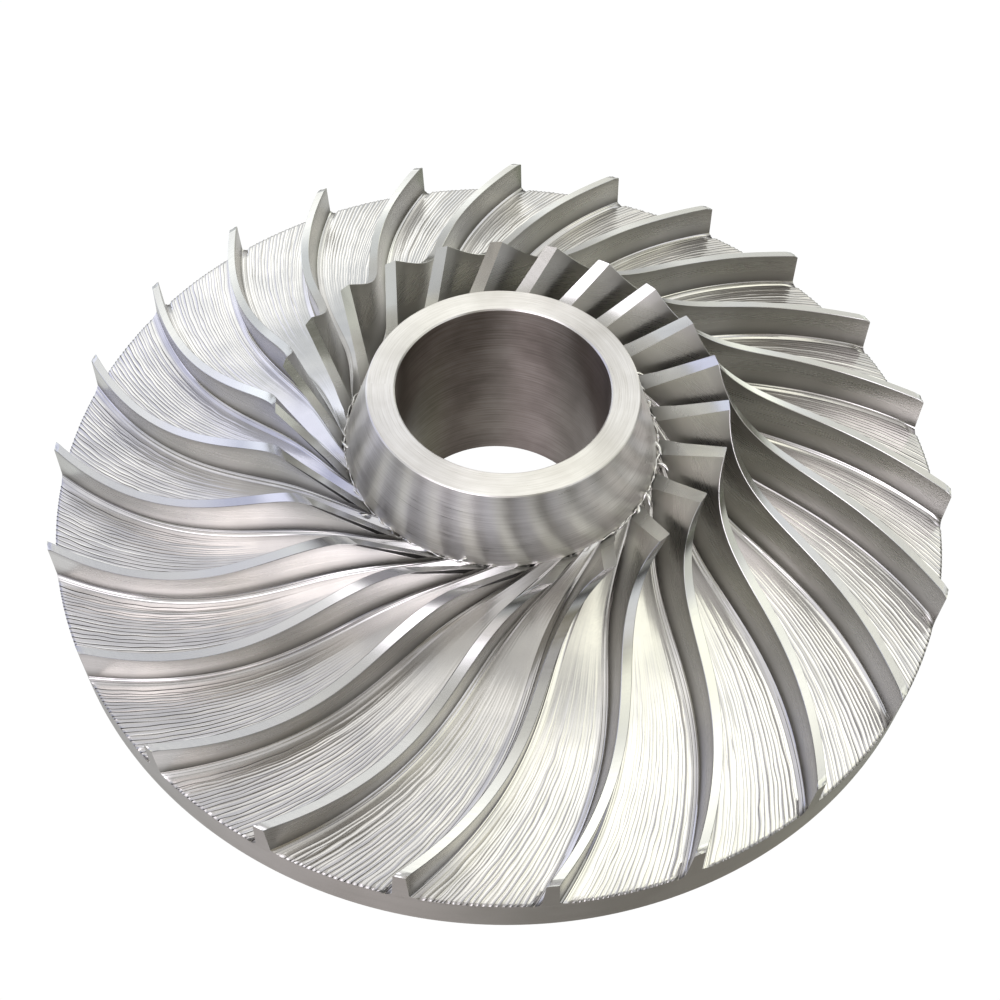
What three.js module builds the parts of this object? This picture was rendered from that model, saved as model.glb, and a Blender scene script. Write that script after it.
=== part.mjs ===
// An open centrifugal compressor impeller, milled in one piece from a turned forging.
// Millimetres, +Z up along the bore, with the flat back of the hub on z = 0 and the inlet nose on top.
// The turned body is split on flat planes into nose, hub disc and rear boss, and each of the 23 equal
// blades is a solid of its own, seated on the hub disc.

import * as THREE from "three";

// Overall sizes.
const rimRadius = 200;
const boreRadius = 46.5;
const noseTopZ = 99.8;
const rimTopZ = 42.2;
const rimBottomZ = 22.7;

// Nose: a turned cone that stands inside the ring of blades.
const noseFaceRadius = 58.9;
const noseFootRadius = 69.5;
const noseFootZ = 66.5;
const noseEdge = 0.6;
const noseLean = (noseFootRadius - noseFaceRadius) / (noseTopZ - noseFootZ);

// Rear boss and the back of the disc.
const bossRadius = 76;
const bossTopZ = 9;
const bossEdge = 1.5;
const backFilletRadius = 88;
const backFilletZ = 13.5;
const backFilletDip = 2;
const backBend = new THREE.Vector2(130, 19);
const rimEdge = 0.5;

// Blades. A share of 0 is the leading edge and a share of 1 is the rim. Thicknesses are measured round the
// circle, so they swell at the inlet, where the blade leans far over from the radial direction.
const bladeCount = 23;
const firstBladeAngle = 103.6;
const tipThickness = 4.6;
const rootThickness = 6.6;
const inletSwell = 2.4;
const swellPower = 8;
const rootFillet = 3;
const filletKnee = 0.3;
const footGap = 0.3;
const firstShare = 0.008;
const bladeStations = 20;
const stationCrowding = 1.3;

// Radius and height of the hub surface between the blades, and of the turned envelope of the tips.
const hubLine = new THREE.CubicBezierCurve(
  new THREE.Vector2(noseFootRadius, noseFootZ),
  new THREE.Vector2(110, 42.5),
  new THREE.Vector2(160, 44),
  new THREE.Vector2(rimRadius, rimTopZ),
);
const tipLine = new THREE.CubicBezierCurve(
  new THREE.Vector2(97.6, 95.5),
  new THREE.Vector2(97.2, 70),
  new THREE.Vector2(148, 56.3),
  new THREE.Vector2(rimRadius, 60.7),
);

// Wrap angle in degrees ahead of the trailing edge: a steady backsweep, eased in the middle of the blade,
// and a turn towards the axis that grows fast close to the inlet.
const tipWrap = { sweep: 31.6, ease: 15, inlet: 20.2, power: 6.3 };
const rootWrap = { sweep: 31.5, ease: 8.3, inlet: 28.4, power: 8 };

// Four segments to a blade pitch, so that the disc's outline repeats with the blades.
const turnedSegments = 4 * bladeCount;
const hubSteps = 14;
const backSteps = 5;

const steel = { color: 0xb9b8b2, metalness: 1 };
const turnedSteel = new THREE.MeshStandardMaterial({ ...steel, roughness: 0.3 });
const groundSteel = new THREE.MeshStandardMaterial({ ...steel, color: 0xa3a29c, roughness: 0.45 });
const milledSteel = new THREE.MeshStandardMaterial({ ...steel, roughness: 0.38 });
const bladeSteel = new THREE.MeshStandardMaterial({ ...steel, color: 0xa9a49c, roughness: 0.35 });

function radians(degrees) {
  return (degrees * Math.PI) / 180;
}

function named(name, geometry, material) {
  const mesh = new THREE.Mesh(geometry, material);
  mesh.name = name;
  return mesh;
}

// A solid of revolution about Z from a closed outline of [radius, z] points.
function turned(outline) {
  const points = [...outline, outline[0]].map(([r, z]) => new THREE.Vector2(r, z));
  return new THREE.LatheGeometry(points, turnedSegments).rotateX(Math.PI / 2);
}

// Points of a curve in the plane of radius and height, both ends included.
function along(curve, steps) {
  return curve.getSpacedPoints(steps).map((p) => [p.x, p.y]);
}

function wrapAngle(wrap, share) {
  const left = 1 - share;
  return wrap.sweep * left - wrap.ease * left ** 3 + wrap.inlet * left ** wrap.power;
}

// A point at a radius and height, a wrap angle in degrees and an offset in mm round the circle.
function around(point, degrees, offset) {
  const angle = radians(degrees) + offset / point.x;
  return new THREE.Vector3(point.x * Math.cos(angle), point.x * Math.sin(angle), point.y);
}

// One blade section: the two flanks are straight lines from root to tip, flared by a fillet at the foot.
// The points run up the trailing flank and down the leading one. The foot is a chord of the round hub
// surface, so where that surface is steep it is lifted by its own sagitta to stay clear.
function bladeSection(share) {
  const foot = hubLine.getPointAt(share);
  const tangent = hubLine.getTangentAt(share);
  const swell = inletSwell * (1 - share) ** swellPower;
  const halfRoot = (rootThickness + swell) / 2;
  const halfTip = (tipThickness + swell) / 2;
  const halfFoot = halfRoot + rootFillet;
  const sagitta = halfFoot ** 2 / (2 * foot.x);
  const lift = footGap - (sagitta * tangent.y) / tangent.x;
  foot.add(new THREE.Vector2(-tangent.y, tangent.x).multiplyScalar(lift));
  const tip = tipLine.getPointAt(share);
  const flank = (side) => {
    const high = around(tip, wrapAngle(tipWrap, share), side * halfTip);
    const up = (height, flare) => {
      const low = around(foot, wrapAngle(rootWrap, share), side * (halfRoot + flare));
      return low.lerp(high, height / low.distanceTo(high));
    };
    const knee = rootFillet * filletKnee;
    return [up(0, rootFillet), up(knee, knee), up(rootFillet, 0), high];
  };
  return [...flank(1), ...flank(-1).reverse()];
}

// A closed skin over equal rings of points, with a flat fan at both ends.
function skin(rings) {
  const count = rings[0].length;
  const last = (rings.length - 1) * count;
  const faces = [];
  for (let ring = 0; ring < rings.length - 1; ring++) {
    for (let i = 0; i < count; i++) {
      const a = ring * count + i;
      const b = ring * count + ((i + 1) % count);
      faces.push(a, b, a + count);
      faces.push(b, b + count, a + count);
    }
  }
  for (let i = 0; i < count / 2 - 1; i++) {
    const j = count - 1 - i;
    faces.push(i, j, i + 1);
    faces.push(i + 1, j, j - 1);
    faces.push(last + i, last + i + 1, last + j);
    faces.push(last + i + 1, last + j - 1, last + j);
  }
  const geometry = new THREE.BufferGeometry().setFromPoints(rings.flat());
  geometry.setIndex(faces);
  geometry.computeVertexNormals();
  return geometry;
}

function bladeGeometry() {
  const rings = [];
  for (let i = 0; i < bladeStations; i++) {
    const place = (i / (bladeStations - 1)) ** stationCrowding;
    const share = firstShare + (1 - firstShare) * place;
    rings.push(bladeSection(Math.min(share, 1)));
  }
  return skin(rings);
}

// The nose: a flared cone round the bore, its face and edges lightly broken.
function noseGeometry() {
  return turned([
    [boreRadius, noseFootZ],
    [noseFootRadius, noseFootZ],
    [noseFaceRadius + noseLean * noseEdge, noseTopZ - noseEdge],
    [noseFaceRadius - noseEdge, noseTopZ],
    [boreRadius + noseEdge, noseTopZ],
    [boreRadius, noseTopZ - noseEdge],
  ]);
}

// The hub disc: the milled trumpet surface on top, the plain rim, and a back that thickens towards the hub.
function discGeometry() {
  const back = new THREE.QuadraticBezierCurve(
    new THREE.Vector2(rimRadius - rimEdge, rimBottomZ),
    backBend,
    new THREE.Vector2(backFilletRadius, backFilletZ),
  );
  return turned([
    [boreRadius, noseFootZ],
    [boreRadius, bossTopZ],
    [bossRadius, bossTopZ],
    [(bossRadius + backFilletRadius) / 2 - backFilletDip, backFilletZ - backFilletDip],
    ...along(back, backSteps).reverse(),
    [rimRadius, rimBottomZ + rimEdge],
    ...along(hubLine, hubSteps).reverse(),
  ]);
}

// The rear boss: the plain ring that the impeller stands on.
function bossGeometry() {
  return turned([
    [boreRadius, bossTopZ],
    [boreRadius, bossEdge],
    [boreRadius + bossEdge, 0],
    [bossRadius - bossEdge, 0],
    [bossRadius, bossEdge],
    [bossRadius, bossTopZ],
  ]);
}

const impeller = new THREE.Group();
impeller.name = "impeller";
impeller.add(named("nose", noseGeometry(), turnedSteel));
impeller.add(named("hub_disc", discGeometry(), milledSteel));
impeller.add(named("rear_boss", bossGeometry(), groundSteel));

const bladeRing = new THREE.Group();
bladeRing.name = "blade_ring";
bladeRing.rotation.z = radians(firstBladeAngle);
const oneBlade = bladeGeometry();
for (let i = 0; i < bladeCount; i++) {
  const blade = named("blade_" + String(i + 1).padStart(2, "0"), oneBlade, bladeSteel);
  blade.rotation.z = (-i * 2 * Math.PI) / bladeCount;
  bladeRing.add(blade);
}
impeller.add(bladeRing);

export default impeller;
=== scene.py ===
# An open centrifugal compressor impeller, milled from one turned forging: fresh steel, straight off the
# machine. Lengths in the dictionaries are millimetres, and meshes are metres. Turned solids lie round Z.

from math import cos, pi, radians, sin

import bpy
import numpy as np
from mathutils import Matrix, Vector


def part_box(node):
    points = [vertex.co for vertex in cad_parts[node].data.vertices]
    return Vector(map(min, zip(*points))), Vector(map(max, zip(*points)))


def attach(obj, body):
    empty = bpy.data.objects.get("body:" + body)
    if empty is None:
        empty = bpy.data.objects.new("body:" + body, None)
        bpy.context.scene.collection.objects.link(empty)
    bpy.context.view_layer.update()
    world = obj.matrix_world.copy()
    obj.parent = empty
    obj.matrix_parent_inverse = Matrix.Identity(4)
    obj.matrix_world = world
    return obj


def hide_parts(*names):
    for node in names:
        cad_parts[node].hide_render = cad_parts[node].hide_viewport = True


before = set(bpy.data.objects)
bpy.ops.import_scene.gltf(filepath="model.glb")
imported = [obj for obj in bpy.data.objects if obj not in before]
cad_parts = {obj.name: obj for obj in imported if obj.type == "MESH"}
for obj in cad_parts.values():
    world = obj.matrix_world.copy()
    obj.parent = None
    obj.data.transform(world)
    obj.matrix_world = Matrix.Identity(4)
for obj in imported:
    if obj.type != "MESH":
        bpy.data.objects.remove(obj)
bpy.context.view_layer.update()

mm = 0.001
body = "root"


def reachOf(node):
    # Radius and height in mm that a CAD node round Z reaches, from its box.
    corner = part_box(node)[1]
    return round(corner.x / mm, 3), round(corner.z / mm, 3)


rimRadius, footHeight = reachOf("hub_disc")
footRadius, noseTop = reachOf("nose")
bossRadius, bossTop = reachOf("rear_boss")


# Camera and setting

cameraView = {
    "eye": (-9.0, -369.7, 516.5),
    "lookDown": 49.04,  # degrees below the horizon
    "roll": 1.35,  # degrees
    "lens": 46.79,
    "sensor": 36,
    "shift": (0.018, -0.1),
}


def placeCamera(view):
    # The view line dips by lookDown. Right and down start level with the picture, and turn together by the
    # roll: right = across cos roll - down sin roll, up = -(across sin roll + down cos roll).
    dip, roll = radians(view["lookDown"]), radians(view["roll"])
    across, down = Vector((1, 0, 0)), Vector((0, -sin(dip), -cos(dip)))
    right = across * cos(roll) - down * sin(roll)
    up = -(across * sin(roll) + down * cos(roll))
    axes = Matrix((right, up, right.cross(up))).transposed().to_4x4()
    lens = bpy.data.cameras.new("camera")
    lens.lens, lens.sensor_width = view["lens"], view["sensor"]
    lens.shift_x, lens.shift_y = view["shift"]
    camera = bpy.data.objects.new("camera", lens)
    camera.matrix_world = Matrix.Translation(Vector(view["eye"]) * mm) @ axes
    bpy.context.scene.collection.objects.link(camera)
    bpy.context.scene.camera = camera


def linearColour(code):
    # sRGB hex to linear light: the usual power curve with its straight foot.
    parts = [int(code[i:i + 2], 16) / 255 for i in (1, 3, 5)]
    return [c / 12.92 if c <= 0.04045 else ((c + 0.055) / 1.055) ** 2.4 for c in parts] + [1.0]


def addNode(tree, kind, settings=None, links=None):
    # One node. A setting goes to the input of that name or number, or else to the node itself.
    node = tree.nodes.new(kind)
    for key, value in (settings or {}).items():
        if key == "stops":
            ramp = node.color_ramp
            while len(ramp.elements) < len(value):
                ramp.elements.new(0.5)
            for stop, (place, code) in zip(ramp.elements, value):
                stop.position, stop.color = place, linearColour(code)
        elif isinstance(key, int) or key in node.inputs:
            node.inputs[key].default_value = value
        else:
            setattr(node, key, value)
    for key, socket in (links or {}).items():
        tree.links.new(socket, node.inputs[key])
    return node


# The room that the steel mirrors: tones from the floor up to the ceiling, then soft boxes and dark screens,
# each one standing before the last. Bearing 0 is behind the wheel and 90 to its right; spread is the half
# angle and edge its softness, all in degrees. These tones and boxes are not set by hand: they are the rounded
# result of a least-squares fit to the photo, run outside this script from a first set placed by hand.
room = {
    "tones": (
        (0.0, "#f2e6e1"), (0.07, "#f5f9fe"), (0.25, "#c4c4bf"), (0.5, "#272524"),
        (0.75, "#f3f5f8"), (0.93, "#efeef3"), (1.0, "#c7c5c1"),
    ),
    "tonePower": 1.1,
    "boxes": (
        {"bearing": -55, "height": 20, "spread": 24, "edge": 13, "colour": "#dbdfff", "power": 0.88},
        {"bearing": -8, "height": 26, "spread": 19, "edge": 11, "colour": "#fefffc", "power": 1.87},
        {"bearing": 18, "height": 62, "spread": 12, "edge": 6, "colour": "#fffff7", "power": 2.15},
        {"bearing": -150, "height": 42, "spread": 19, "edge": 14, "colour": "#fdf8ff", "power": 3.15},
        {"bearing": 80, "height": 61, "spread": 14, "edge": 7, "colour": "#ffffef", "power": 1.6},
        {"bearing": -79, "height": 6, "spread": 15, "edge": 9, "colour": "#e4e6ff", "power": 1.42},
        {"bearing": -38, "height": -1, "spread": 23, "edge": 6, "colour": "#f0f5ff", "power": 1.58},
        {"bearing": 38, "height": 1, "spread": 22, "edge": 8, "colour": "#fcfff2", "power": 1.85},
        {"bearing": -144, "height": -49, "spread": 18, "edge": 8, "colour": "#fcf8ff", "power": 1.08},
        {"bearing": 123, "height": -61, "spread": 24, "edge": 9, "colour": "#fff6ef", "power": 0.18},
        {"bearing": 71, "height": -2, "spread": 29, "edge": 7, "colour": "#fffbe6", "power": 0.13},
        {"bearing": 86, "height": -33, "spread": 22, "edge": 9, "colour": "#f3ffdd", "power": 0.28},
        {"bearing": 161, "height": 39, "spread": 20, "edge": 9, "colour": "#fff3cc", "power": 0.19},
        {"bearing": -51, "height": -28, "spread": 5, "edge": 5, "colour": "#d7fff6", "power": 0.32},
        {"bearing": -138, "height": 0, "spread": 22, "edge": 18, "colour": "#f6f1fc", "power": 0.43},
        {"bearing": 1, "height": -5, "spread": 33, "edge": 11, "colour": "#fffefb", "power": 0.67},
        {"bearing": 40, "height": -76, "spread": 16, "edge": 8, "colour": "#fffdf0", "power": 1.85},
        {"bearing": 175, "height": 41, "spread": 11, "edge": 9, "colour": "#fff9f7", "power": 0.82},
        {"bearing": 130, "height": 66, "spread": 8, "edge": 5, "colour": "#fff5ec", "power": 0.25},
        {"bearing": -27, "height": 58, "spread": 10, "edge": 5, "colour": "#f8f8ff", "power": 0.8},
        {"bearing": 21, "height": 46, "spread": 15, "edge": 5, "colour": "#fffef7", "power": 0.91},
        {"bearing": 87, "height": 25, "spread": 17, "edge": 6, "colour": "#fefff4", "power": 0.77},
        {"bearing": -40, "height": 30, "spread": 9, "edge": 8, "colour": "#eceeff", "power": 1.47},
        {"bearing": -18, "height": 25, "spread": 12, "edge": 4, "colour": "#f8fcff", "power": 0.86},
        {"bearing": -19, "height": 79, "spread": 5, "edge": 5, "colour": "#fffefc", "power": 1.25},
    ),
}


def lightRoom(room):
    # Light from a direction is the tone for its height. Box after box is laid over it by a smooth step of
    # the cosine of the angle between the direction and the box's middle.
    world = bpy.data.worlds.new("room")
    bpy.context.scene.world = world
    world.use_nodes = True
    tree = world.node_tree
    tree.nodes.clear()
    direction = addNode(tree, "ShaderNodeTexCoord").outputs["Generated"]
    height = addNode(tree, "ShaderNodeSeparateXYZ", {}, {0: direction}).outputs["Z"]
    share = addNode(tree, "ShaderNodeMapRange", {"From Min": -1.0}, {0: height}).outputs[0]
    tones = addNode(tree, "ShaderNodeValToRGB", {"stops": room["tones"]}, {0: share}).outputs["Color"]
    scale = {"operation": "SCALE", "Scale": room["tonePower"]}
    light = addNode(tree, "ShaderNodeVectorMath", scale, {0: tones}).outputs[0]
    for box in room["boxes"]:
        b, h = radians(box["bearing"]), radians(box["height"])
        towards = (sin(b) * cos(h), cos(b) * cos(h), sin(h))
        near = addNode(tree, "ShaderNodeVectorMath", {"operation": "DOT_PRODUCT", 1: towards}, {0: direction})
        limits = {
            "interpolation_type": "SMOOTHSTEP",
            "From Min": cos(radians(box["spread"] + box["edge"])),
            "From Max": cos(radians(max(box["spread"] - box["edge"], 0))),
        }
        cover = addNode(tree, "ShaderNodeMapRange", limits, {0: near.outputs["Value"]})
        shine = [c * box["power"] for c in linearColour(box["colour"])[:3]]
        settings = {"data_type": "VECTOR", "clamp_factor": True, 5: shine}
        light = addNode(tree, "ShaderNodeMix", settings, {0: cover.outputs[0], 4: light}).outputs[1]
    sky = addNode(tree, "ShaderNodeBackground", {}, {"Color": light})
    addNode(tree, "ShaderNodeOutputWorld", {}, {"Surface": sky.outputs[0]})


studio = {
    "reach": 4000,
    "level": -0.2,  # just below the wheel
    "rings": 16,
    "turns": 96,
    "middle": 1.0,  # radius of the hole that is left at the pole of the floor and, nearly, of the dome
    "colour": "#ffffff",
    "glow": 1.02,
}


def makeStudio(studio):
    # A floor disc that runs up into a dome: radius = reach times the cosine of the rise, height = reach
    # times its sine. The paper glows evenly, and neither shades the wheel nor shows in the steel, which
    # mirrors the room.
    turns = np.linspace(0, 2 * pi, studio["turns"] + 1)[:-1]
    rise = np.concatenate([[0.0], np.linspace(0, pi / 2 - 0.01, studio["rings"])])
    radius = np.cos(rise) * studio["reach"]
    radius[0] = studio["middle"]
    height = np.sin(rise) * studio["reach"] + studio["level"]
    points = ringPoints(np.stack([radius, height], 1), turns).transpose(1, 0, 2)
    faces = gridFaces(len(rise), len(turns), wrapColumns=True)
    mesh = bpy.data.meshes.new("studio")
    mesh.from_pydata((points.reshape(-1, 3) * mm).tolist(), [], faces.tolist())
    shell = bpy.data.objects.new("studio", mesh)
    material = bpy.data.materials.new("palePaper")
    material.use_nodes = True
    tree = material.node_tree
    tree.nodes.clear()
    paper = {"Color": linearColour(studio["colour"]), "Strength": studio["glow"]}
    glow = addNode(tree, "ShaderNodeEmission", paper)
    addNode(tree, "ShaderNodeOutputMaterial", {}, {"Surface": glow.outputs[0]})
    mesh.materials.append(material)
    bpy.context.scene.collection.objects.link(shell)
    shell.visible_glossy = False
    shell.visible_shadow = False


# Meshes

def ringPoints(profile, turns):
    # Points of a profile of radius and height carried round Z: x = radius cos turn, y = radius sin turn, z
    # = height.
    radius, height = profile[:, 0], profile[:, 1]
    return np.stack([
        np.cos(turns)[:, None] * radius,
        np.sin(turns)[:, None] * radius,
        np.broadcast_to(height, (len(turns), len(height))),
    ], 2)


def gridFaces(rows, columns, wrapRows=False, wrapColumns=False):
    # Four-cornered faces of a grid of points numbered row by row, joined round where it wraps.
    across = np.arange(columns - (not wrapColumns))
    i, j = np.meshgrid(np.arange(rows - (not wrapRows)), across, indexing="ij")
    k, m = (i + 1) % rows, (j + 1) % columns
    return np.stack([i * columns + j, i * columns + m, k * columns + m, k * columns + j], -1).reshape(-1, 4)


def endCaps(rows, columns):
    # The first and last ring of such a grid as two many-cornered faces.
    return [np.arange(columns)[::-1], (rows - 1) * columns + np.arange(columns)]


def signedVolume(points, faces):
    # Sum over the faces of the volume of the pyramid from the origin, which is below zero on an inside-out
    # shell.
    a, b, c, d = (points[faces[:, n]] for n in range(4))
    return np.einsum("ij,ij->", a, np.cross(b, c) + np.cross(c, d)) / 6


def smooth(t):
    # A soft step: 3 t squared - 2 t cubed between 0 and 1, and level outside.
    t = np.clip(t, 0, 1)
    return t * t * (3 - 2 * t)


def polar(radius, turn, height):
    # x = radius cos turn, y = radius sin turn, z = height, for arrays of any matching shapes.
    radius, turn, height = np.broadcast_arrays(radius, turn, height)
    return np.stack([radius * np.cos(turn), radius * np.sin(turn), height], -1)


def quadratic(a, b, c, t):
    # A curve from a to c that leaves and arrives in the direction of b: a (1-t)^2 + 2 b t (1-t) + c t^2.
    return a * (1 - t) ** 2 + 2 * b * t * (1 - t) + c * t ** 2


def makePiece(name, points, faces, materials, nodes=(), caps=(), finish=None, run=None, worn=None,
              capFinish=(0, 0), sharp=32):
    # A closed shell from a table of points and four-cornered faces, turned outwards, that stands for CAD
    # nodes. Where given, finish is the number of each face's material, run is the distance in mm across and
    # along the cut, and the darkening table says how far each point darkens and roughens, from 0 to 1:
    # painted shade in most places, and darkening towards the blades' broken ends. Edges that bend by more
    # than sharp degrees stay crisp.
    if signedVolume(points, faces) < 0:
        faces = faces[:, ::-1]
        caps = [cap[::-1] for cap in caps]
    mesh = bpy.data.meshes.new(name)
    mesh.from_pydata((points * mm).tolist(), [], faces.tolist() + [list(map(int, cap)) for cap in caps])
    for material in materials:
        mesh.materials.append(material)
    if finish is not None:
        finish = np.concatenate([finish, capFinish[:len(caps)]]).astype(np.int32)
        mesh.polygons.foreach_set("material_index", finish)
    if run is not None:
        corner = np.empty(len(mesh.loops), np.int32)
        mesh.loops.foreach_get("vertex_index", corner)
        mesh.uv_layers.new(name="run").data.foreach_set("uv", run[corner].astype(np.float32).ravel())
    if worn is not None:
        values = mesh.attributes.new("worn", "FLOAT", "POINT").data
        values.foreach_set("value", worn.astype(np.float32).ravel())
    mesh.shade_smooth()
    mesh.set_sharp_from_angle(angle=radians(sharp))
    piece = bpy.data.objects.new(name, mesh)
    bpy.context.scene.collection.objects.link(piece)
    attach(piece, body)
    if nodes:
        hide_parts(*nodes)
    return piece


# Steel
#
# All of it is one bare steel, and only the tool that cut it differs, but for painted shade: the darker
# colour in the bore and in the slot cut at the inlet, and most of the darkening on milled faces. On turned
# faces linePitch is the feed in mm, drawn two or three times coarser than real so that it shows at this
# size; grain is the size in mm of the tool marks across and along the cut, coarser than real for the same
# reason. Clouds is the number of patches to a metre.

turnedFinish = {
    "base": "#efedea", "dark": "#cfccc7", "rough": 0.32,
    "linePitch": 0.5, "lineDepth": 0.004, "anisotropic": 0.9,
}
# painted shade: darker steel inside the bore, with the boring tool's coarser rings
boreShadeFinish = {
    "base": "#a39a94", "dark": "#766d67", "rough": 0.36,
    "linePitch": 0.8, "lineDepth": 0.006, "anisotropic": 0.85,
}
rimFinish = {
    "base": "#a5a19b", "dark": "#97938c", "rough": 0.45,
    "linePitch": 0.7, "lineDepth": 0.002, "anisotropic": 0.2,
}
flankFinish = {
    "base": "#cac8c3", "cool": "#bebcb6", "darkShadeAndWear": "#55524d", "rough": 0.28,
    "grain": (0.5, 40), "grainDepth": 0.0009, "clouds": 28,
}
landFinish = {
    "base": "#d9d9d5", "cool": "#d2d3d2", "darkShadeAndWear": "#4d4a44", "rough": 0.2,
    "grain": (1.5, 1.2), "grainDepth": 0.003, "clouds": 28,
}
# painted shade: the slot cut at the inlet, drawn nearly black and hardly metallic
inletSlotShadeFinish = {
    "metal": 0.2, "base": "#25211f", "cool": "#2c2826", "darkShadeAndWear": "#1f1b1a", "rough": 0.6,
    "grain": (1.5, 1.2), "grainDepth": 0.004, "clouds": 60,
}
floorFinish = {
    "base": "#e2e0dd", "cool": "#d1d0cf", "darkShadeAndWear": "#33302d", "rough": 0.17,
    "grain": (2.0, 0.9), "grainDepth": 0.003, "clouds": 45,
}
burrFinish = {
    "base": "#e9e8e6", "cool": "#dcdcda", "darkShadeAndWear": "#8f8d88", "rough": 0.14,
    "grain": (1.0, 1.0), "grainDepth": 0.002, "clouds": 200,
}
lathe = {
    "turnRun": 0.0012,  # how far the pattern moves in a radian, in metres
    "detail": 3.0,
    "mix": 0.65,
    "clouds": 40.0,
    "toneAt": (0.12, 0.36),
    "quarterTurn": 0.25,  # lays the long axis of the glint across the rings
}
mill = {
    "detail": 3.0,
    "mix": 0.6,
    "cloudDetail": 2.0,
    "toneAt": (0.35, 0.65),
    "shadeAndWearRough": 0.3,  # where the darkening table is full, the steel is rougher by this
}


def startSteel(name, look):
    # Bare steel: the colour is in its mirror light, so it is all metal, and it keeps the default IOR. Only
    # the cut at the inlet is not: its nearly black, hardly metallic finish is painted shade, for a slot that
    # light hardly enters.
    material = bpy.data.materials.new(name)
    material.use_nodes = True
    tree = material.node_tree
    shader = tree.nodes["Principled BSDF"]
    shader.inputs["Metallic"].default_value = look.get("metal", 1.0)
    shader.inputs["Base Color"].default_value = linearColour(look["base"])
    shader.inputs["Roughness"].default_value = look["rough"]
    return material, tree, shader


def roughSpread(look):
    # Limits that turn a pattern's middle range into roughness, from 15% under the finish's own value to 20%
    # over it.
    return {"From Min": 0.3, "From Max": 0.7, "To Min": look["rough"] * 0.85, "To Max": look["rough"] * 1.2}


def latheSteel(name, look):
    # A turned face: fine rings from the tool's feed, which draw the light out across them. The rings are
    # noise on radius and height that hardly changes with the turn, so that each runs on round the axis.
    material, tree, shader = startSteel(name, look)
    place = addNode(tree, "ShaderNodeTexCoord").outputs["Object"]
    parts = addNode(tree, "ShaderNodeSeparateXYZ", {}, {0: place}).outputs
    flat = addNode(tree, "ShaderNodeCombineXYZ", {}, {"X": parts["X"], "Y": parts["Y"]}).outputs[0]
    radius = addNode(tree, "ShaderNodeVectorMath", {"operation": "LENGTH"}, {0: flat}).outputs["Value"]
    turn = addNode(tree, "ShaderNodeMath", {"operation": "ARCTAN2"}, {0: parts["Y"], 1: parts["X"]})
    slowly = {"operation": "MULTIPLY", 1: lathe["turnRun"]}
    drift = addNode(tree, "ShaderNodeMath", slowly, {0: turn.outputs[0]})
    ringLinks = {"X": radius, "Y": drift.outputs[0], "Z": parts["Z"]}
    ringPlace = addNode(tree, "ShaderNodeCombineXYZ", {}, ringLinks).outputs[0]
    feed = {"Scale": 1 / (look["linePitch"] * mm), "Detail": lathe["detail"], "Roughness": lathe["mix"]}
    rings = addNode(tree, "ShaderNodeTexNoise", feed, {"Vector": ringPlace}).outputs[0]
    relief = {"Strength": 1.0, "Distance": look["lineDepth"] * mm}
    bump = addNode(tree, "ShaderNodeBump", relief, {"Height": rings})
    patches = {"Scale": lathe["clouds"], "Detail": lathe["detail"]}
    cloud = addNode(tree, "ShaderNodeTexNoise", patches, {"Vector": place}).outputs[0]
    both = addNode(tree, "ShaderNodeMath", {"operation": "MULTIPLY"}, {0: rings, 1: cloud}).outputs[0]
    stops = tuple(zip(lathe["toneAt"], (look["dark"], look["base"])))
    tone = addNode(tree, "ShaderNodeValToRGB", {"stops": stops}, {0: both})
    rough = addNode(tree, "ShaderNodeMapRange", roughSpread(look), {0: rings})
    tangent = addNode(tree, "ShaderNodeTangent", {"direction_type": "RADIAL", "axis": "Z"})
    shader.inputs["Anisotropic"].default_value = look["anisotropic"]
    shader.inputs["Anisotropic Rotation"].default_value = lathe["quarterTurn"]
    tree.links.new(tone.outputs[0], shader.inputs["Base Color"])
    tree.links.new(rough.outputs[0], shader.inputs["Roughness"])
    tree.links.new(bump.outputs[0], shader.inputs["Normal"])
    tree.links.new(tangent.outputs[0], shader.inputs["Tangent"])
    return material


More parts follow.
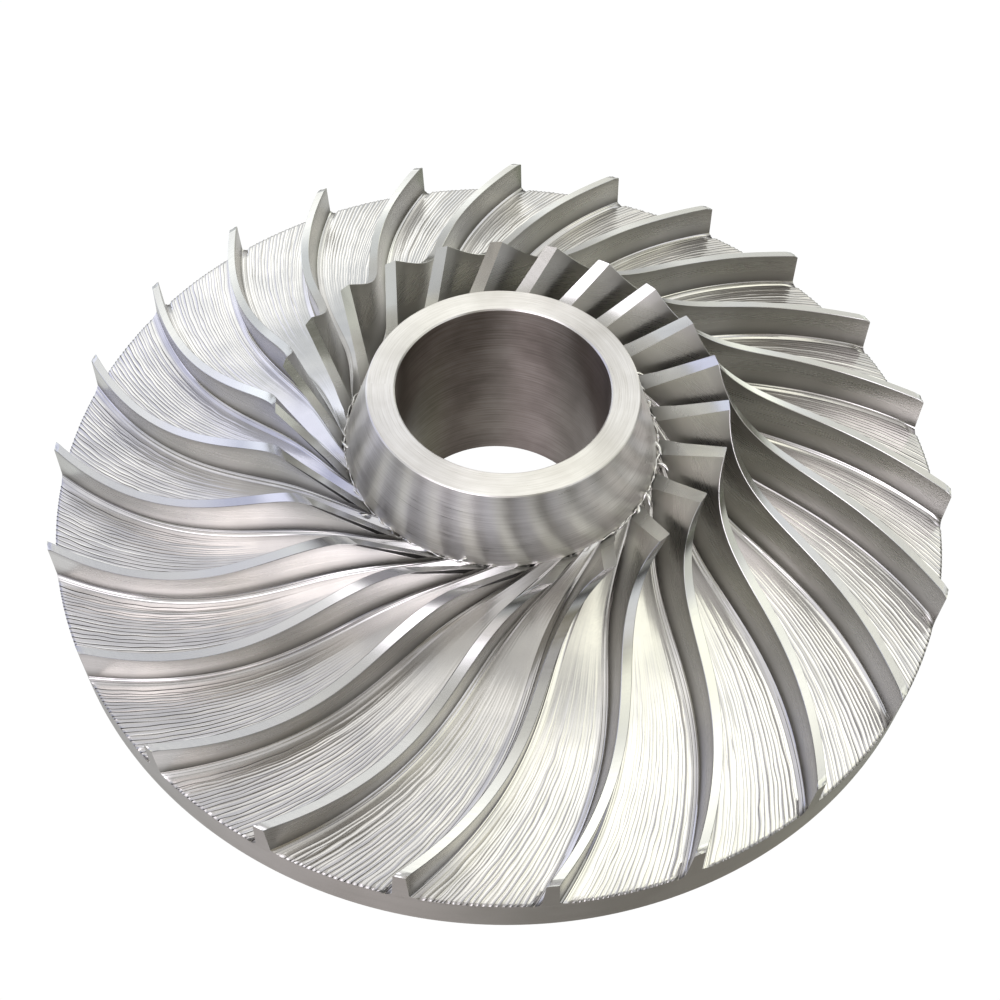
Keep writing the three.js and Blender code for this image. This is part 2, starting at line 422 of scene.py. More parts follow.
def milledSteel(name, look):
    # A milled face: marks drawn out along or across the cut, a slow change of tone, and a darker, rougher
    # mix where the darkening table is set: painted shade at the flanks' feet, the lands' edges, the floors'
    # cusps (also torn metal), lips, root grooves and roots, and darkening towards the blades' broken ends.
    material, tree, shader = startSteel(name, look)
    run = addNode(tree, "ShaderNodeUVMap", {"uv_map": "run"}).outputs[0]
    across, along = look["grain"]
    stretch = addNode(tree, "ShaderNodeMapping", {"Scale": (1 / across, 1 / along, 1.0)}, {"Vector": run})
    grain = {"Scale": 1.0, "Detail": mill["detail"], "Roughness": mill["mix"]}
    marks = addNode(tree, "ShaderNodeTexNoise", grain, {"Vector": stretch.outputs[0]}).outputs[0]
    relief = {"Strength": 1.0, "Distance": look["grainDepth"] * mm}
    bump = addNode(tree, "ShaderNodeBump", relief, {"Height": marks})
    place = addNode(tree, "ShaderNodeTexCoord").outputs["Object"]
    patches = {"Scale": look["clouds"], "Detail": mill["cloudDetail"]}
    cloud = addNode(tree, "ShaderNodeTexNoise", patches, {"Vector": place}).outputs[0]
    stops = tuple(zip(mill["toneAt"], (look["base"], look["cool"])))
    tone = addNode(tree, "ShaderNodeValToRGB", {"stops": stops}, {0: cloud}).outputs[0]
    # Painted shade, and darkening towards the blades' broken ends: the darkening table mixes in the dark tone
    # and adds roughness.
    worn = addNode(tree, "ShaderNodeAttribute", {"attribute_name": "worn"}).outputs["Fac"]
    darkShadeAndWear = {"data_type": "RGBA", "clamp_factor": True, 7: linearColour(look["darkShadeAndWear"])}
    tone = addNode(tree, "ShaderNodeMix", darkShadeAndWear, {0: worn, 6: tone}).outputs[2]
    rough = addNode(tree, "ShaderNodeMapRange", roughSpread(look), {0: marks}).outputs[0]
    rougher = {"operation": "MULTIPLY_ADD", 1: mill["shadeAndWearRough"]}
    rough = addNode(tree, "ShaderNodeMath", rougher, {0: worn, 2: rough}).outputs[0]
    tree.links.new(tone, shader.inputs["Base Color"])
    tree.links.new(rough, shader.inputs["Roughness"])
    tree.links.new(bump.outputs[0], shader.inputs["Normal"])
    return material


# The wheel's lines, the same as the solids' own

wheel = {
    "blades": 23,
    "firstBlade": 103.6,  # degrees, where blade 1 meets the rim
    "tipThickness": 4.6,
    "rootThickness": 6.6,
    "inletSwell": (2.4, 8),  # both grow by this much at the inlet, where the blade lies slantwise
    "hubLine": ((footRadius, footHeight), (110, 42.5), (160, 44), (rimRadius, 42.2)),
    "tipLine": ((97.6, 95.5), (97.2, 70), (148, 56.3), (rimRadius, 60.7)),
    "tipWrap": (31.6, 15, 20.2, 6.3),  # sweep, ease and inlet turn in degrees, and the inlet turn's power
    "rootWrap": (31.5, 8.3, 28.4, 8),
    "inletShare": 0.008,
    "cover": 1.4,  # the milled skin's depth over the turned core
    "backing": 1.6,  # how far blades and floors run on below the hub surface
    "samples": 801,
}
pitch = 2 * pi / wheel["blades"]


def traceCurve(corners):
    # Points of a cubic Bezier curve at even steps of its parameter, and the length of the curve up to each.
    t = np.linspace(0, 1, wheel["samples"])
    weights = np.stack([(1 - t) ** 3, 3 * t * (1 - t) ** 2, 3 * t * t * (1 - t), t ** 3], 1)
    line = weights @ np.array(corners, float)
    steps = np.linalg.norm(np.diff(line, axis=0), axis=1)
    return line, np.concatenate([[0], np.cumsum(steps)])


def curveAt(corners, share):
    # Radius, height and direction at a share of the curve's length.
    line, length = traceCurve(corners)
    way = np.gradient(line, axis=0)
    way /= np.linalg.norm(way, axis=1)[:, None]
    at = np.asarray(share) * length[-1]
    return [np.interp(at, length, column) for column in (line[:, 0], line[:, 1], way[:, 0], way[:, 1])]


def lineLength(corners):
    # The curve's whole length.
    return traceCurve(corners)[1][-1]


def wrapAt(wrap, share):
    # Turn ahead of the trailing edge: a steady sweep, eased in the middle, and a late curl towards the inlet.
    sweep, ease, inlet, power = wrap
    left = 1 - share
    return np.radians(sweep * left - ease * left ** 3 + inlet * left ** power)


def bladeTurnOf(number):
    # Blades count clockwise from above, one pitch apart.
    return radians(wheel["firstBlade"]) - (number - 1) * pitch


def flankLine(share, side, bladeTurn):
    # The straight line up a blade's side at a share of its length: its foot, its direction and its length.
    # Foot and tip each lie half the thickness round the circle from the blade's own middle line.
    hubRadius, hubHeight = curveAt(wheel["hubLine"], share)[:2]
    tipRadius, tipHeight = curveAt(wheel["tipLine"], share)[:2]
    extra, power = wheel["inletSwell"]
    swell = extra * (1 - share) ** power
    halfRoot, halfTip = (wheel["rootThickness"] + swell) / 2, (wheel["tipThickness"] + swell) / 2
    footTurn = bladeTurn + wrapAt(wheel["rootWrap"], share) + side * halfRoot / hubRadius
    tipTurn = bladeTurn + wrapAt(wheel["tipWrap"], share) + side * halfTip / tipRadius
    foot = polar(hubRadius, footTurn, hubHeight)
    rise = polar(tipRadius, tipTurn, tipHeight) - foot
    length = np.linalg.norm(rise, axis=1)
    return foot, rise / length[:, None], length


# Blades

blade = {
    "seed": 100,
    "stations": 92,
    "crowding": 1.25,
    "flankSteps": 7,
    "landSteps": 5,
    "edge": 0.22,
    "endReach": 2.2,  # the land breaks away over this last stretch, by the drop
    "endRings": (1.0, 0.7, 0.42, 0.2, 0.0),
    "endGap": 1.3,  # the even rings stop this many end reaches short of the rim
    "endDrop": 0.8,
    "endPower": 1.4,
    "ragged": 0.25,
    # painted shade: a thin dark line along both broken edges of the land
    "edgeShade": 0.2,
    "endTone": 0.12,
    "endStarts": 0.3,  # share of the end over which its tone sets in, in places later than in others
    "endRise": 4,
    "flankFootShade": (0.75, 0.5, 0.15),  # painted shade: the flanks darken towards the root, in the crease with the floor
    "inletReach": 2.6,  # the leading side is cut away at the inlet over this length
    "inletCut": (1.1, 0.99, 0.0, 0.0),  # by this much at each of the first rings
    "inletRise": (-0.2, 2.8),  # the cut grows up the flank, and is full a third of the way up
    "inletLip": 0.35,  # width of the burr on both sides of it
}


def bladeShares(tipLength):
    # Where the rings stand, as shares of the blade's length: about the inlet cut, crowded towards the inlet
    # along the blade, and over the broken end.
    lip, reach = blade["inletLip"], blade["inletReach"]
    nearInlet = wheel["inletShare"] + np.array([0, lip, reach, reach + lip]) / tipLength
    first, last = nearInlet[-1] + lip / tipLength, 1 - blade["endGap"] * blade["endReach"] / tipLength
    u = np.linspace(0, 1, blade["stations"]) ** blade["crowding"]
    nearEnd = np.array(blade["endRings"]) * blade["endReach"]
    return np.concatenate([nearInlet, first + (last - first) * u, 1 - nearEnd / tipLength])


def makeBlade(number, materials):
    # Ring after ring from inlet to rim: up the side that leads, over the land with its two broken edges,
    # down the other. The materials are those of the flanks, land, end at the rim, cut (painted shade) and
    # burr, by number.
    rng = np.random.default_rng(blade["seed"] + number)
    flankSteps, landSteps = blade["flankSteps"], blade["landSteps"]
    tipLength = lineLength(wheel["tipLine"])
    share = bladeShares(tipLength)
    lead = flankLine(share, 1, bladeTurnOf(number))
    trail = flankLine(share, -1, bladeTurnOf(number))
    tips = [foot + rise * length[:, None] for foot, rise, length in (lead, trail)]
    across = (tips[1] - tips[0]) / np.linalg.norm(tips[1] - tips[0], axis=1)[:, None]
    over = across * blade["edge"]
    cut = np.zeros((len(share), 1))
    cut[:len(blade["inletCut"]), 0] = blade["inletCut"]
    cut = across * cut
    ending = np.clip(1 - (1 - share) * tipLength / blade["endReach"], 0, 1)
    sides = []
    for foot, rise, length in (lead, trail):
        drop = ending ** blade["endPower"] * blade["endDrop"]
        climb = np.linspace(0, 1, flankSteps)[None, :] * (length - blade["edge"] - drop)[:, None]
        climb[:, 0] = -wheel["backing"]
        sides.append(foot[:, None] + rise[:, None] * climb[..., None])
    full = smooth(np.linspace(*blade["inletRise"], flankSteps))
    sides[0] = sides[0] + cut[:, None] * full[None, :, None]
    place = np.linspace(0, 1, landSteps)[:, None]
    land = (tips[0] + over + cut)[:, None] * (1 - place) + (tips[1] - over)[:, None] * place
    jag = rng.uniform(-1, 1, (len(share), landSteps)) * blade["ragged"]
    sunk = ending[:, None] ** blade["endPower"] * (blade["endDrop"] + jag)
    land = land - lead[1][:, None] * sunk[..., None]
    rings = np.concatenate([sides[0], land, sides[1][:, ::-1]], 1)

    # The land has its own finish, and so do the cut at the inlet, whose nearly black finish is painted shade,
    # and the burrs on both sides of it.
    rows, columns = rings.shape[:2]
    lastFlank, pastLand = flankSteps - 1, flankSteps + landSteps
    finish = np.zeros((rows - 1, columns), int)
    finish[:, lastFlank:pastLand] = 1
    finish[:3, 1:lastFlank] = np.array([4, 3, 4])[:, None]
    worn = np.zeros((rows, columns))
    # Painted shade outlines the land's two broken edges.
    worn[:, [lastFlank, pastLand]] = blade["edgeShade"]
    # Painted shade darkens both flanks towards the root.
    worn[:, :3] = blade["flankFootShade"]
    worn[:, -3:] = blade["flankFootShade"][::-1]
    start = rng.uniform(0, blade["endStarts"], landSteps)
    setIn = np.clip((ending[:, None] - start) * blade["endRise"], 0, 1)
    worn[:, flankSteps:pastLand] = setIn * blade["endTone"]
    reach = np.linalg.norm(rings - rings[:, :1], axis=2)
    along = np.broadcast_to(share[:, None] * tipLength, reach.shape)
    run = np.stack([reach, along], -1).reshape(-1, 2)
    name = "blade_%02d" % number
    makePiece(
        name + "_milled", rings.reshape(-1, 3), gridFaces(rows, columns, wrapColumns=True), materials,
        [name], endCaps(rows, columns), finish.ravel(), run, worn, capFinish=(1, 2), sharp=12,
    )


# Channel floors

floor = {
    "seed": 7,
    "rows": 92,
    "lip": 1.0,  # the rows crowd over this last stretch, where the passes run out over the rim
    "lipRows": (1.0, 0.6, 0.28, 0.0),
    "lipGap": 2.2,  # the even rows stop this many lips short of the rim
    "lipPower": 1.6,
    "lipDip": (0.1, 0.38),  # how far it dips on a cusp, and how much more in a trough
    "lipShade": (3, 0.35),  # painted shade on the dipping lip: it sets in this fast, up to the second value
    "passes": 17,
    "passWidths": (2.0, 2.6, 1.5),  # at the places in widthsAt, from the blade that leads over to the next
    "widthsAt": (0, 0.35, 1),
    "firstPasses": (1.8,),  # wide shallow passes beside the two blades
    "lastPasses": (2.2, 3.0),
    "shallow": 0.4,
    "columns": (0, 0.15, 0.4, 0.6, 0.85),  # places across a pass that have a point
    "hollow": 2.5,  # power of the trough's section
    "cutter": 6.0,  # radius of its ball
    "deepest": 0.3,
    "wander": 0.16,  # of a pass width, slowly
    "shiver": 0.06,  # and fast
    "steady": 0.15,  # share of that wandering that is left inside this radius
    "steadyTo": 80,
    "steadyOver": 60,  # all of it is there this much further out
    "depthStray": (0.15, 0.25),  # along a pass, and from pass to pass
    "depthRange": (0.4, 2),
    "cuspStray": 0.07,  # cusps stand a little higher or lower than each other
    "fadeFrom": 104,  # the passes are faint inside this radius and full beyond the next
    "fadeTo": 142,
    "faint": 0.08,
    "darkShadeAndWear": (214, 0.45, 1.6),  # painted shade on the cusps, which are also rougher torn metal: bearing where it is strongest, there and across from it; least and most
    # painted shade on the cusps grows in between these two radii
    "cuspShadeFrom": 105,
    "cuspShadeTo": 170,
    "cuspShadeAlong": (0.9, 0.3),  # middle value, and how far it strays along a cusp
    "fillet": 3.0,
    "filletShare": 0.2,  # of the floor's width at most, near the nose
    "filletSteps": 8,
    "climb": 0.45,  # height of a fillet up the flank, as a share of its reach over the floor
    "facet": 0.6,  # share by which a fillet is flattened towards its chord
    "facetStray": 0.3,  # how far that share differs from one pass of the fillet to the next
    "gutterReach": 6,  # the root groove deepens towards the rim over this length
    "gutterDepth": 1.5,
    "gutterWidth": 1.6,
    "gutterShade": (3, 0.8),  # painted shade in the root groove: reach along the root, and its strength at the rim
    # painted shade on the floor where it meets each fillet
    "floorRootShade": 0.3,
    "alongScale": 1.2,
}


def slowWave(rng, rows, lines, rates, fall=0.7):
    # Sum of a few sines of rising rate and falling height along the channel, one set of phases for each line.
    u = np.linspace(0, 1, rows)[:, None, None]
    phase = rng.uniform(0, 2 * pi, (1, lines, len(rates)))
    size = rng.normal(0, 1, (1, lines, len(rates))) / (rates / rates[0]) ** fall
    return (np.sin(2 * pi * u * rates + phase) * size).sum(2) / 1.6


def cutPasses(rng, radius, span, bearing):
    # For each row of the floor: the distance over it of every point, how far the point is sunk, how near it
    # lies to the middle of its trough, and how far it is darkened: painted shade on the cusps, which are
    # also rougher for torn metal. A pass is a shallow trough: depth = width squared over eight cutter radii,
    # times one less a power of the place across.
    rows = len(radius)
    regular = np.interp(np.linspace(0, 1, floor["passes"]), floor["widthsAt"], floor["passWidths"])
    widths = np.concatenate([floor["firstPasses"], regular, floor["lastPasses"]])
    count = len(widths)
    bounds = np.concatenate([[0], np.cumsum(widths)]) / widths.sum()
    outward = np.clip((radius - floor["steadyTo"]) / floor["steadyOver"], floor["steady"], 1)[:, None]
    wander = slowWave(rng, rows, count + 1, np.arange(1, 6)) * floor["wander"]
    wander = (wander + slowWave(rng, rows, count + 1, np.arange(7, 16), 0.3) * floor["shiver"]) * outward
    wander[:, [0, -1]] = 0
    bounds = (bounds[None, :] + wander * widths.mean() / widths.sum()) * span[:, None]
    left, step = bounds[:, :-1], np.diff(bounds, axis=1)
    place = np.array(floor["columns"])[None, None, :]

    alongStray, passStray = floor["depthStray"]
    gain = 1 + alongStray * slowWave(rng, rows, count, np.arange(1, 6)) + passStray * rng.normal(0, 1, count)
    fade = smooth((radius - floor["fadeFrom"]) / (floor["fadeTo"] - floor["fadeFrom"]))[:, None]
    fade = fade * (1 - floor["faint"]) + floor["faint"]
    gain = np.clip(gain, *floor["depthRange"])
    depth = np.minimum(step ** 2 / 8 / floor["cutter"], floor["deepest"]) * gain * fade
    depth[:, :len(floor["firstPasses"])] *= floor["shallow"]
    depth[:, -len(floor["lastPasses"]):] *= floor["shallow"]
    trough = 1 - np.abs(2 * place - 1) ** floor["hollow"]
    stray = slowWave(rng, rows, count + 1, np.arange(1, 5)) * 0.4 + rng.uniform(-1, 1, count + 1)
    stray = (stray + 1) * floor["cuspStray"] * fade
    stray[:, [0, -1]] = 0
    lean = stray[:, :-1, None] * (1 - place) + stray[:, 1:, None] * place

    # Painted shade on the cusps: strongest at one bearing and across from it, and only further out.
    middle, straying = floor["cuspShadeAlong"]
    strength = np.clip(middle + straying * slowWave(rng, rows, count, np.arange(2, 9)), 0.1, 1)
    mostAt, least, most = floor["darkShadeAndWear"]
    facing = np.cos(bearing - radians(mostAt)) ** 2
    outer = smooth((radius - floor["cuspShadeFrom"]) / (floor["cuspShadeTo"] - floor["cuspShadeFrom"]))
    strength = strength * (outer * (least + (most - least) * facing))[:, None]

    distance = (left[..., None] + place * step[..., None]).reshape(rows, -1)
    sink = (depth[..., None] * trough + lean).reshape(rows, -1)
    valley = np.broadcast_to(trough, (rows, count, place.size)).reshape(rows, -1)
    worn = (strength[..., None] * (place == 0)).reshape(rows, -1)
    distance = np.concatenate([distance, span[:, None]], 1)
    return distance, *(np.concatenate([values, np.zeros((rows, 1))], 1) for values in (sink, valley, worn))


def cutFillet(rng, t, line, outer, deepen, reach):
    # The root fillet in flats, as the cutter left it: a curve from the flank through the foot to the floor,
    # drawn towards its own chord by the facet share, which strays from flat to flat.
    foot, rise = line[:2]
    top = foot + rise * reach[:, None] * floor["climb"]
    bend = quadratic(top[:, None], (foot - rise * deepen)[:, None], outer[:, None], t[None, :, None])
    chord = top[:, None] * (1 - t)[None, :, None] + outer[:, None] * t[None, :, None]
    stray = rng.uniform(-1, 1, len(t)) + 0.3 * slowWave(rng, len(reach), len(t), np.arange(1, 3))
    stray = stray[..., None] * floor["facetStray"]
    return bend + (chord - bend) * (floor["facet"] + stray * (t > 0)[:, None])


def makeFloor(number, material, rim):
    # Rows run from the nose to the rim. Across, each row is a backing, a fillet, passes side by side, a
    # fillet and a backing, so that the skin is closed below the hub surface.
    rng = np.random.default_rng(floor["seed"] + number)
    hubLength = lineLength(wheel["hubLine"])
    evenTo = 1 - floor["lipGap"] * floor["lip"] / hubLength
    nearRim = np.array(floor["lipRows"]) * floor["lip"]
    share = np.concatenate([np.linspace(0, evenTo, floor["rows"]), 1 - nearRim / hubLength])
    radius, height, wayR, wayZ = curveAt(wheel["hubLine"], share)
    turn = bladeTurnOf(number) + wrapAt(wheel["rootWrap"], share)
    width = radius * pitch - wheel["rootThickness"]
    fillet = np.minimum(floor["fillet"], width * floor["filletShare"])
    fromRim = (1 - share) * hubLength
    distance, sink, valley, worn = cutPasses(rng, radius, width - 2 * fillet, turn)

    # Where a pass runs out over the rim it dips, most in the middle of the trough.
    dip = np.clip(1 - fromRim / floor["lip"], 0, 1)[:, None] ** floor["lipPower"]
    least, more = floor["lipDip"]
    sink = sink + dip * (least + more * valley)
    # Painted shade darkens the lip where it dips over the rim.
    rate, darkest = floor["lipShade"]
    worn = np.maximum(worn, np.clip(dip * rate, 0, darkest))
    gutter = smooth(1 - fromRim / floor["gutterReach"])[:, None] * floor["gutterDepth"]
    sink = sink + gutter * np.clip(1 - distance / floor["gutterWidth"], 0, 1) ** 2

    def seat(gap, drop):
        # A point of the hub surface at a distance from the first blade's side, lowered along the normal.
        at = turn[:, None] - (wheel["rootThickness"] / 2 + gap) / radius[:, None]
        return polar(radius[:, None] + wayZ[:, None] * drop, at, height[:, None] - wayR[:, None] * drop)

    middle = seat(fillet[:, None] + distance, sink)
    t = np.linspace(0, 1, floor["filletSteps"] + 1)[:-1]
    lead = flankLine(share, -1, bladeTurnOf(number))
    trail = flankLine(share, 1, bladeTurnOf(number + 1))
    first = cutFillet(rng, t, lead, middle[:, 0], gutter, fillet)
    last = cutFillet(rng, t, trail, middle[:, -1], 0 * gutter, fillet)
    backing = np.full((len(share), 1), wheel["backing"])
    under = seat(np.full((len(share), 1), -wheel["rootThickness"] / 2), backing)
    beyond = seat(width[:, None] + wheel["rootThickness"] / 2, backing)
    rings = np.concatenate([under, first, middle, last[:, ::-1], beyond], 1)

    # Painted shade in the sunken root groove beside the leading blade, strongest at the rim.
    reach, darkest = floor["gutterShade"]
    grooveShade = smooth(1 - fromRim / reach)[:, None] * darkest * (t > 0.3)
    plain = np.zeros((len(share), 1))
    # Painted shade along both edges of the passes, where the floor meets the fillets.
    worn[:, [0, -1]] = np.maximum(worn[:, [0, -1]], floor["floorRootShade"])
    worn = np.concatenate([plain, grooveShade, worn, np.zeros((len(share), len(t))), plain], 1)

    # One more ring straight below the last closes the skin down to the core's rim.
    lip = rings[-1:].copy()
    lip[..., 2] = height[-1] - wheel["cover"]
    rings = np.concatenate([rings, lip], 0)
    worn = np.concatenate([worn, worn[-1:]], 0)
    rows, columns = rings.shape[:2]
    finish = np.zeros((rows - 1, columns), int)
    finish[-1] = 1
    stepAcross = np.linalg.norm(np.diff(rings, axis=1), axis=2)
    across = np.concatenate([np.zeros((rows, 1)), np.cumsum(stepAcross, 1)], 1)
    stepAlong = np.linalg.norm(np.diff(rings.mean(1), axis=0), axis=1)
    along = np.concatenate([[0], np.cumsum(stepAlong)])[:, None] * floor["alongScale"]
    run = np.stack([across, np.broadcast_to(along, across.shape)], -1).reshape(-1, 2)
    makePiece(
        "channel_%02d_floor" % number, rings.reshape(-1, 3), gridFaces(rows, columns, wrapColumns=True),
        [material, rim], ["hub_disc"] if number == 1 else [], endCaps(rows, columns),
        finish.ravel(), run, worn, capFinish=(0, 1), sharp=12,
    )


# Turned pieces

turnedSteps = {"longest": 4.0, "segments": 16 * wheel["blades"]}


def thicken(outline):
    # The outline with points added so that no stretch is longer than a few millimetres.
    corners = np.array([p[:2] for p in outline], float)
    marks = [p[2] for p in outline]
    points, finish = [], []
    for a, b, mark in zip(corners, np.roll(corners, -1, 0), marks):
        count = max(1, int(np.ceil(np.linalg.norm(b - a) / turnedSteps["longest"])))
        points.append(a + (b - a) * np.arange(count)[:, None] / count)
        finish += [mark] * count
    return np.concatenate(points), np.array(finish)


def makeTurned(name, outline, materials, nodes):
    # A closed outline of radius and height carried round Z. Each point names the finish of the stretch that
    # starts there, by its number among the materials.
    profile, finish = thicken(outline)
    segments = turnedSteps["segments"]
    turns = np.linspace(0, 2 * pi, segments + 1)[:-1]
    points = ringPoints(profile, turns).reshape(-1, 3)
    faces = gridFaces(segments, len(profile), wrapRows=True, wrapColumns=True)
    makePiece(name, points, faces, materials, nodes, finish=np.tile(finish, segments))


noseTurned = {"bore": 46.5, "faceOut": 58.9, "edge": 0.6, "outerEdge": 0.42, "outerLean": 0.1}


def makeNose(turned, boreShade):
    # The flared ring round the bore, with a broken edge inside and a finer one outside.
    n = noseTurned
    outline = [
        (n["bore"], footHeight, 1),
        (n["bore"], noseTop - n["edge"], 0),
        (n["bore"] + n["edge"], noseTop, 0),
        (n["faceOut"] - n["outerEdge"], noseTop, 0),
        (n["faceOut"] + n["outerLean"], noseTop - n["outerEdge"], 0),
        (footRadius, footHeight, 0),
    ]
    makeTurned("nose_turned", outline, [turned, boreShade], ["nose"])


burr = {
    "seed": 11,
    "steps": 1380,
    "sides": 8,
    "radius": 70.2,
    "height": 66.6,
    "thick": 0.3,
    "thickest": (0.14, 1.5),
    "flat": 0.8,  # its section is a little narrower than it is high
    "swell": 0.55,
    "stray": 0.6,
    "lift": 0.3,
    "runRadius": 70,  # the marks run round at this radius
    "heavy": (-10, 65, 0.7),  # bearing, half width and extra thickness of the heaviest stretch
    "bare": (-80, 34, 0.85),  # bearing and half width of the stretch that was nearly cleaned off, and how far
}


def makeBurrRing(material):
    # A thin ragged bead at the foot of the nose: its radius, height and thickness each drift round the turn
    # as a sum of sines of many rates, so that it pinches to a wire and swells into beads.
    rng = np.random.default_rng(burr["seed"])
    turns = np.linspace(0, 2 * pi, burr["steps"] + 1)[:-1]

    def drift(rates, fall):
        # Sum of sines round the turn, with random phases, and heights that fall as a power of the rate.
        phase = rng.uniform(0, 2 * pi, len(rates))
        size = rng.normal(0, 1, len(rates)) / (rates / rates[0]) ** fall
        return (np.sin(turns[:, None] * rates + phase) * size).sum(1) / 2

    def awayFrom(bearing, halfWidth):
        # Angle from a bearing, as a share of a half width.
        return np.abs(np.angle(np.exp(1j * (turns - radians(bearing))))) / radians(halfWidth)

    bearing, width, extra = burr["heavy"]
    heavy = smooth(1 - awayFrom(bearing, width)) * extra
    swell = np.clip(drift(np.arange(9, 90, 8), 0.3), -0.4, 1.5)
    thick = np.clip(burr["thick"] + heavy * 0.5 + (burr["swell"] + heavy) * swell * 0.6, *burr["thickest"])
    bearing, width, cleaned = burr["bare"]
    thick = thick * (1 - cleaned * smooth(1.5 - 1.5 * awayFrom(bearing, width)))
    out = burr["radius"] + burr["stray"] * drift(np.arange(7, 70, 5), 0.4)
    up = burr["height"] + burr["lift"] * drift(np.arange(11, 90, 7), 0.4) + 0.2 * thick
    section = np.linspace(0, 2 * pi, burr["sides"] + 1)[:-1]
    radius = out[:, None] + thick[:, None] * np.cos(section) * burr["flat"]
    height = up[:, None] + thick[:, None] * np.sin(section)
    points = polar(radius, turns[:, None], height).reshape(-1, 3)
    faces = gridFaces(burr["steps"], burr["sides"], wrapRows=True, wrapColumns=True)
    along = turns[:, None] * burr["runRadius"]
    run = np.stack(np.broadcast_arrays(section, along), -1).reshape(-1, 2)
    makePiece("foot_burr", points, faces, [material], run=run, sharp=60)


tongues = {
    "height": 68.0,
    "fall": 0.42,  # the hub surface drops by this for each mm further out
    "climb": 0.15,  # rise along the flake
    "bow": 0.22,  # how far it bends aside and arches, as shares of its length
    "arch": 0.12,
    "thick": (0.1, 0.25),  # half thickness at the ends, and how much more for each mm of half width
    "rings": 15,
    "sides": 8,
    # Bearing round the axis in degrees, distance out from the foot, length, width and curl of each flake.
    "places": (
        (-165, 6, 7, 1.6, 1.1), (-144, 5, 5, 1.4, 0.9), (-176, 1.5, 9, 1.2, 0.7), (-105, 1, 6, 1.3, 0.8),
        (47, 11, 5, 1.2, 1.0), (30, 9, 8, 2.2, 1.2), (23, 2, 10, 1.6, 0.8), (69, 14, 5, 1.3, 0.9),
        (-14, 7, 8, 1.8, 1.3), (-30, 4, 7, 2.0, 1.0), (-8, 1.5, 9, 1.5, 0.7), (-38, 3, 8, 1.4, 0.6),
    ),
}


def makeTongues(material):
    # Each flake of burr is a flat strip carried along an arc that curls up from the metal: its width swells
    # and dies away as a half sine, and its section is a thin ellipse, closed at both ends by a point.
    along = np.linspace(0, 1, tongues["rings"])
    section = np.linspace(0, 2 * pi, tongues["sides"] + 1)[:-1]
    size = len(along) * len(section)
    leastDepth, moreDepth = tongues["thick"]
    points, faces, caps, run = [], [], [], []
    for number, (bearing, out, length, width, curl) in enumerate(tongues["places"]):
        turn = radians(bearing)
        reach, base = burr["radius"] + out, tongues["height"] - out * tongues["fall"]
        start = np.array((reach * cos(turn), reach * sin(turn), base))
        way = np.array((-sin(turn + curl), cos(turn + curl), tongues["climb"]))
        bend = np.array((cos(turn + curl), sin(turn + curl), 0.0))
        bow = np.sin(along * pi * 0.8) * curl * tongues["bow"] * length
        line = start + way * along[:, None] * length + bend * bow[:, None]
        line[:, 2] += np.sin(along * pi) * tongues["arch"] * length
        half = np.maximum(np.sin(along * pi) ** 0.6, 0.04) * width / 2
        flat = np.cos(section)[None, :, None] * bend * half[:, None, None]
        depth = leastDepth + moreDepth * half[:, None, None]
        thick = np.sin(section)[None, :, None] * np.array((0, 0, 1)) * depth
        points.append((line[:, None] + flat + thick).reshape(-1, 3))
        faces.append(gridFaces(len(along), len(section), wrapColumns=True) + number * size)
        caps += [cap + number * size for cap in endCaps(len(along), len(section))]
        run.append(np.stack(np.broadcast_arrays(section, along[:, None] * length), -1).reshape(-1, 2))
    makePiece(
        "foot_tongues", np.concatenate(points), np.concatenate(faces), [material], caps=caps,
        run=np.concatenate(run), capFinish=[0] * len(caps), sharp=70,
    )


core = {
    "hubFrom": 0.02,  # share of the hub line where the core comes out from under the nose
    "hubSteps": 24,
    "rimEdge": 0.5,
    "back": ((rimRadius - 0.5, 22.7), (130, 19), (88, 13.5)),  # starts inside the rim's lower edge
    "backSteps": 14,
    "backFillet": (bossRadius, 11.8),
    "filletSteps": 6,
}


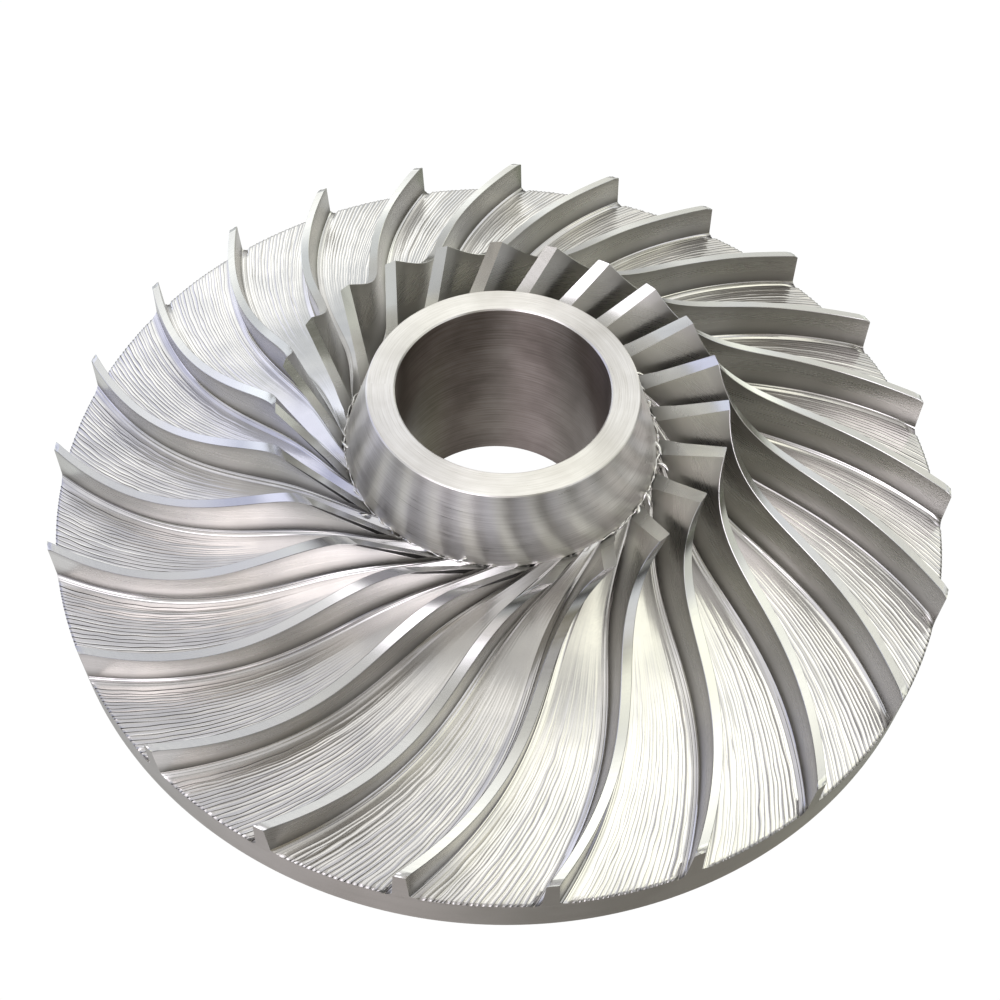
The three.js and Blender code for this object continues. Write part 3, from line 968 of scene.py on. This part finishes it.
def makeCore(rim, boreShade, backSide):
    # The disc below the milled skin: the hub line lowered by the skin's depth along its normal, the plain
    # rim, and the back, which thickens towards the boss along two curves.
    share = np.linspace(core["hubFrom"], 1, core["hubSteps"])
    radius, height, wayR, wayZ = curveAt(wheel["hubLine"], share)
    radius = radius + wayZ * wheel["cover"]
    height = height - wayR * wheel["cover"]
    radius[-1], height[-1] = rimRadius, wheel["hubLine"][3][1] - wheel["cover"]
    rimFoot, bend, filletTop = (np.array(p) for p in core["back"])
    back = quadratic(rimFoot, bend, filletTop, np.linspace(0, 1, core["backSteps"])[:, None])
    filletFoot = np.array((bossRadius, bossTop))
    t = np.linspace(0, 1, core["filletSteps"])[1:, None]
    foot = quadratic(filletTop, np.array(core["backFillet"]), filletFoot, t)
    outline = [(noseTurned["bore"], bossTop, 1), (noseTurned["bore"], footHeight, 0)]
    outline += [(r, z, 0) for r, z in zip(radius, height)]
    outline += [(rimRadius, rimFoot[1] + core["rimEdge"], 2)]
    outline += [(r, z, 2) for r, z in np.concatenate([back, foot])]
    makeTurned("hub_core", outline, [rim, boreShade, backSide], ["hub_disc"])


bossEdge = 1.5


def makeBoss(ground, boreShade):
    # The plain ring that the wheel stands on, its two lower edges broken.
    bore, out = noseTurned["bore"], bossRadius
    outline = [
        (bore, bossTop, 1), (bore, bossEdge, 0), (bore + bossEdge, 0, 0),
        (out - bossEdge, 0, 0), (out, bossEdge, 0), (out, bossTop, 0),
    ]
    makeTurned("rear_boss_ground", outline, [ground, boreShade], ["rear_boss"])


placeCamera(cameraView)
lightRoom(room)
makeStudio(studio)
bpy.context.scene.view_settings.view_transform = "Standard"
print("camera, room and studio are up")

turnedSteel = latheSteel("turnedSteel", turnedFinish)  # fine turned: bright fans of light across the rings
boreShadeSteel = latheSteel("boreShadeSteel", boreShadeFinish)  # the bore: coarser rings, and a darker colour that is painted shade inside the bore
rimSteel = latheSteel("rimSteel", rimFinish)  # plain turned rim: an even, dull grey
bladeFlankSteel = milledSteel("bladeFlankSteel", flankFinish)  # flank milled: long soft streaks
inletSlotShadeSteel = milledSteel("inletSlotShadeSteel", inletSlotShadeFinish)  # painted shade: a slot that light hardly enters, drawn nearly black
bladeLandSteel = milledSteel("bladeLandSteel", landFinish)  # turned tips: smooth and bright
ballMilledSteel = milledSteel("ballMilledSteel", floorFinish)  # ball milled: bright troughs, dark cusps
burrSteel = milledSteel("burrSteel", burrFinish)  # torn edge: small white glints
print("steel is ready")

makeNose(turnedSteel, boreShadeSteel)
makeBurrRing(burrSteel)
makeTongues(burrSteel)
makeCore(rimSteel, boreShadeSteel, rimSteel)
makeBoss(turnedSteel, boreShadeSteel)
print("turned pieces are done")

for number in range(1, wheel["blades"] + 1):
    makeBlade(number, [bladeFlankSteel, bladeLandSteel, rimSteel, inletSlotShadeSteel, burrSteel])
print("blades are done")

for number in range(1, wheel["blades"] + 1):
    makeFloor(number, ballMilledSteel, rimSteel)
print("channel floors are done")
